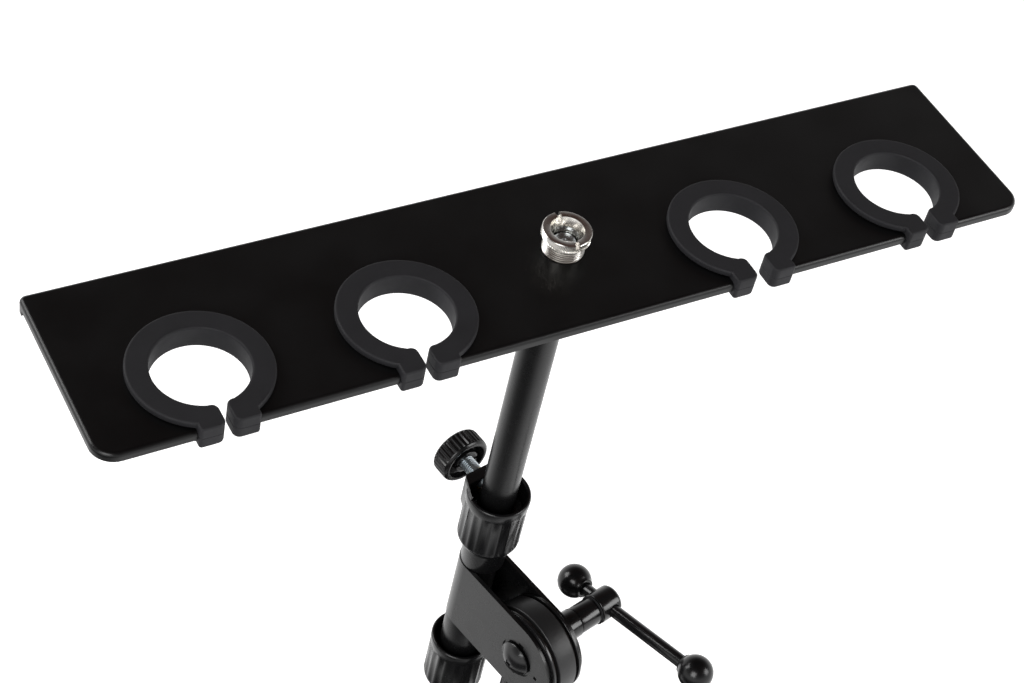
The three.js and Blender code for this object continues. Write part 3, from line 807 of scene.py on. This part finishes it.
# ---------------------------------------------------------------- hub, discs and bolt
hub = lying_along_bolt(turned("hub_disc", eased([
    (0, -HUB_HALF), (HUB_R, -HUB_HALF), (HUB_R, HUB_HALF), (0, HUB_HALF)], 0.7), sides=160))
neck = block("neck", (-HUB_HALF, -NECK_HALF, -24.2), (HUB_HALF, NECK_HALF, -8))
bevelled(neck, upright, 2, 5)
combined(hub, neck, "UNION")
spigot = turned("spigot", eased([
    (0, -48.2), (7.3, -48.2), (7.8, -47.6), (7.8, -25.8), (PIPE_R, -25.8), (PIPE_R, -23.3),
    (8.9, -22.5), (0, -22.5)], 0.4))
combined(hub, spigot, "UNION")
combined(hub, lying_along_bolt(drum("bolt_way", BOLT_HOLE_R, -6, 6, sides=64)), "DIFFERENCE")
placed(hub, tilt_place)
finished(hub, "cast_base", "stand", "pivot_hub")

# The two friction discs wear the fibre finish, darkened as painted shade of the gap they sit in.
discs = [
    ("friction_disc_b", tube(BOLT_HOLE_R, FRICTION_R, -6.1, -5.0), "friction_fibre", "friction_disc_near"),
    ("friction_disc_a", tube(BOLT_HOLE_R, FRICTION_R, 5.0, 6.1), "friction_fibre", "friction_disc_far"),
    ("cheek_disc_b", tube(BOLT_HOLE_R, CHEEK_DISC_R, -7.6, -6.4), "black_oxide", "cheek_washer_near"),
    ("cheek_disc_a", tube(BOLT_HOLE_R, CHEEK_DISC_R, 6.4, 7.6), "black_oxide", "cheek_washer_far"),
]
for name, wall, slot, node in discs:
    disc = placed(turned(name, eased(wall, 0.25), sides=144), bolt_place)
    finished(disc, slot, "boom_head", node)

# A domed head with a thin skirt, and a punched square in its crown.
dome = []
for step in range(DOME_STEPS + 1):
    outwards = step / DOME_STEPS
    dome.append((DOME_R * outwards, DOME_TOP + DOME_RISE * outwards ** DOME_CURVE))
bolt = turned("tilt_bolt", [
    *dome, (7.55, -10.95), (7.8, -10.9), (7.9, -10.75), (7.9, -10.15), (7.8, -10.05), (4, -10.05),
    *thread(4, 0.4, 1.1, 24, 32), (3.6, 32.4), (3.1, 33), (0, 33)], sides=96)
punch = block("punch", (-1.3, -1.3, -16), (1.3, 1.3, -13.8))
combined(bolt, punch, "DIFFERENCE")
placed(bolt, bolt_place)
finished(bolt, "black_oxide", "boom_head", "pivot_bolt", smooth=30)


# ---------------------------------------------------------------- T-handle
spacer = placed(turned("handle_sleeve", eased(tube(BOLT_HOLE_R, 6.6, 10.05, 23.3), 0.5)), bolt_place)
finished(spacer, "black_oxide", "boom_head", "handle_spacer")
head = placed(turned("handle_barrel", eased([
    (0, 33.3), (BOLT_HOLE_R, 33.3), (BOLT_HOLE_R, 23.6), (6.2, 23.6), (6.2, 33.8), (5.6, 34.1),
    (5.6, 35.1), (6.9, 35.4), (6.9, 45.2), (5.9, 46.4), (4, 47.0), (0, 47.2)], 0.6), sides=112), bolt_place)
combined(head, placed(drum("cross_hole", BAR_HOLE_R, -12, 12, sides=64), bar_place), "DIFFERENCE")
finished(head, "black_oxide", "handle", "handle_head", smooth=30)
seal_section = []
for step in range(SEAL_STEPS):
    around = 2 * math.pi * step / SEAL_STEPS
    seal_section.append((
        SEAL_MIDDLE[0] + SEAL_HALF[0] * math.cos(around), SEAL_MIDDLE[1] + SEAL_HALF[1] * math.sin(around)))
seal_section.append(seal_section[0])
seal = placed(turned("handle_seal", seal_section), bolt_place)
finished(seal, "ring_rubber", "handle", "handle_ring")

rod_start, rod_end = BAR_ENDS
rod_outline = eased([(0, rod_start), (BAR_R, rod_start), (BAR_R, rod_end), (0, rod_end)], 0.6)
cross_bar = placed(turned("handle_rod", rod_outline, sides=64), bar_place)
finished(cross_bar, "black_oxide", "cross_bar", "handle_bar")

ball_arc = [math.radians(angle) for angle in range(-50, 90, 5)]
ball_outline = [
    (0, -3.3), (3.2, -3.3), (3.2, -6.9), (3.4, -7.05), (4.2, -7.05), (4.45, -6.85), (4.6, -6.3),
    *[(BALL_R * math.cos(angle), BALL_R * math.sin(angle)) for angle in ball_arc], (0, BALL_R)]
near_ball = bar_place @ moved(0, 0, BALL_SPOTS[0]) @ Matrix.Rotation(math.pi, 4, "X")
far_ball = bar_place @ moved(0, 0, BALL_SPOTS[1])
for name, node, place in (
        ("handle_knob_a", "handle_ball_near", near_ball), ("handle_knob_b", "handle_ball_far", far_ball)):
    ball = placed(turned(name, ball_outline, sides=80), place)
    finished(ball, "black_plastic", "cross_bar", node, smooth=28)


# ---------------------------------------------------------------- column and base
column_wall = eased(tube(PIPE_BORE, PIPE_R, 16.8, 197.3), 0.3)
column = placed(turned("column_pipe", column_wall, sides=128), column_place)
finished(column, "tube_paint", "stand", "column_tube")
ferrule = placed(turned("column_root", eased([
    (0, 42.8), (7.8, 42.8), (7.8, 16.8), (5.3, 16.8), (5.3, 36.8), (0, 36.8)], 0.4)), column_place)
finished(ferrule, "zinc", "stand", "column_ferrule")
cover = placed(turned("column_skirt", eased([
    (9.8, 16.8), (27, 16.8), (27, 18.4), (26.2, 19.4), (22, 21.8), (18.5, 24.2), (15.4, 27.4), (13.4, 30.8),
    (12.4, 33.2), (12, 34.8), (9.8, 34.8), (9.8, 16.8)], 0.5), sides=128), column_place)
finished(cover, "black_plastic", "stand", "column_cover", smooth=30)
base = placed(turned("round_base", eased([
    (5.3, 9.5), (13, 9.5), (13, 1.5), (102.7, 1.5), (102.7, 3.3), (112.3, 3.3), (112.3, 1.5), (116.5, 1.5),
    (118, 3), (118, 7), (115, 10), (100, 11.5), (80, 13.1), (60, 14.4), (45, 15.5), (34, 16.3), (29, 16.5),
    (5.3, 16.5), (5.3, 9.5)], 1.2), sides=192), column_place)
finished(base, "cast_base", "stand", "base_plate", smooth=30)
foot = placed(turned("foot_rubber", eased(tube(103, 112, 0, 3), 0.7), sides=160), column_place)
finished(foot, "ring_rubber", "stand", "base_foot_ring")
washer = placed(turned("foot_washer", eased(tube(5.3, 11, 7.2, 9.2), 0.3)), column_place)
finished(washer, "zinc", "stand", "base_washer")
foot_bolt = turned("foot_bolt", [
    (0, 4), (4.4, 4), (4.4, 7), (5, 7.2), *thread(5, 0.45, 1.4, 14, 33), (4.3, 34.2), (3.8, 34.8), (0, 34.8)],
    sides=64)
hexagon = softened(drum("hexagon", 9.2, 1.5, 6.9, sides=6), 0.4)
combined(foot_bolt, hexagon, "UNION")
placed(foot_bolt, column_place)
finished(foot_bolt, "zinc", "stand", "base_bolt")


# ---------------------------------------------------------------- floor, light and camera
deselected()
bpy.ops.mesh.primitive_plane_add(size=FLOOR_SIZE)
floor = bpy.context.object
floor.name = "studio_floor"
pale = bpy.data.materials.new("pale_floor")
pale.use_nodes = True
pale_shader = pale.node_tree.nodes["Principled BSDF"]
pale_shader.inputs["Base Color"].default_value = (FLOOR_GREY, FLOOR_GREY, FLOOR_GREY, 1)
pale_shader.inputs["Roughness"].default_value = 0.9
pale_shader.inputs["Emission Color"].default_value = (1, 1, 1, 1)
pale_shader.inputs["Emission Strength"].default_value = FLOOR_GLOW
floor.data.materials.append(pale)
floor.visible_glossy = False


def shaded(tree, driver, stops):
    """A ramp of greys or colours along one measure of the direction."""
    ramp = tree.nodes.new("ShaderNodeValToRGB")
    while len(ramp.color_ramp.elements) < len(stops):
        ramp.color_ramp.elements.new(1.0)
    for element, (position, colour) in zip(ramp.color_ramp.elements, stops):
        element.position = position
        element.color = (*colour, 1)
    tree.links.new(driver, ramp.inputs["Fac"])
    return ramp


def grey(value):
    """A grey of one brightness."""
    return (value, value, value)


# The room: a bright horizon under a dark, warm ceiling, and low down a dark side where the room opens.
world = bpy.data.worlds.new("studio")
bpy.context.scene.world = world
world.use_nodes = True
room = world.node_tree
direction = room.nodes.new("ShaderNodeTexCoord")
split = room.nodes.new("ShaderNodeSeparateXYZ")
room.links.new(direction.outputs["Generated"], split.inputs["Vector"])
above = shaded(room, split.outputs["Z"], [
    (0.12, grey(0.80)), (0.35, grey(0.26)), (0.57, (0.085, 0.075, 0.075)), (0.74, (0.042, 0.024, 0.019)),
    (0.95, (0.030, 0.017, 0.014))])
opening = room.nodes.new("ShaderNodeVectorMath")
opening.operation = "DOT_PRODUCT"
opening.inputs[1].default_value = (math.cos(DARK_SIDE), math.sin(DARK_SIDE), 0)
room.links.new(direction.outputs["Generated"], opening.inputs[0])
below = shaded(room, opening.outputs["Value"], [
    (0.0, grey(1.0)), (0.16, grey(0.96)), (0.43, grey(0.66)), (0.60, grey(0.28)), (0.73, grey(0.04))])
low_down = room.nodes.new("ShaderNodeMapRange")
low_down.inputs["From Min"].default_value = WALLS_FROM
low_down.inputs["From Max"].default_value = WALLS_TO
room.links.new(split.outputs["Z"], low_down.inputs["Value"])
walls = room.nodes.new("ShaderNodeMix")
walls.data_type = "RGBA"
room.links.new(low_down.outputs["Result"], walls.inputs[0])
room.links.new(above.outputs["Color"], walls.inputs[6])
room.links.new(below.outputs["Color"], walls.inputs[7])
room.links.new(walls.outputs[2], room.nodes["Background"].inputs["Color"])
room.nodes["Background"].inputs["Strength"].default_value = ROOM_STRENGTH

aim = Vector((0, 0.03, 0.36))
softboxes = [
    ("left_front_light", (-1.7, -1.2, 1.7), 1.3, 36),
    ("left_back_light", (-1.5, 1.7, 1.5), 1.2, 28),
    ("right_front_light", (1.8, -1.5, 1.5), 1.2, 28),
]
for name, spot, size, power in softboxes:
    deselected()
    bpy.ops.object.light_add(type="AREA", location=spot)
    lamp = bpy.context.object
    lamp.name = name
    lamp.data.size = size
    lamp.data.energy = power
    lamp.rotation_euler = (aim - Vector(spot)).to_track_quat("-Z", "Y").to_euler()

deselected()
bpy.ops.object.camera_add()
camera = bpy.context.object
camera.name = "studio_camera"
camera.location = tray_place.translation + CAMERA_SPOT
camera.rotation_euler = [math.radians(angle) for angle in CAMERA_TURN]
camera.data.lens = CAMERA_LENS
camera.data.sensor_width = CAMERA_SENSOR
camera.data.clip_start = 0.01
bpy.context.scene.camera = camera
bpy.context.scene.view_settings.view_transform = "Standard"
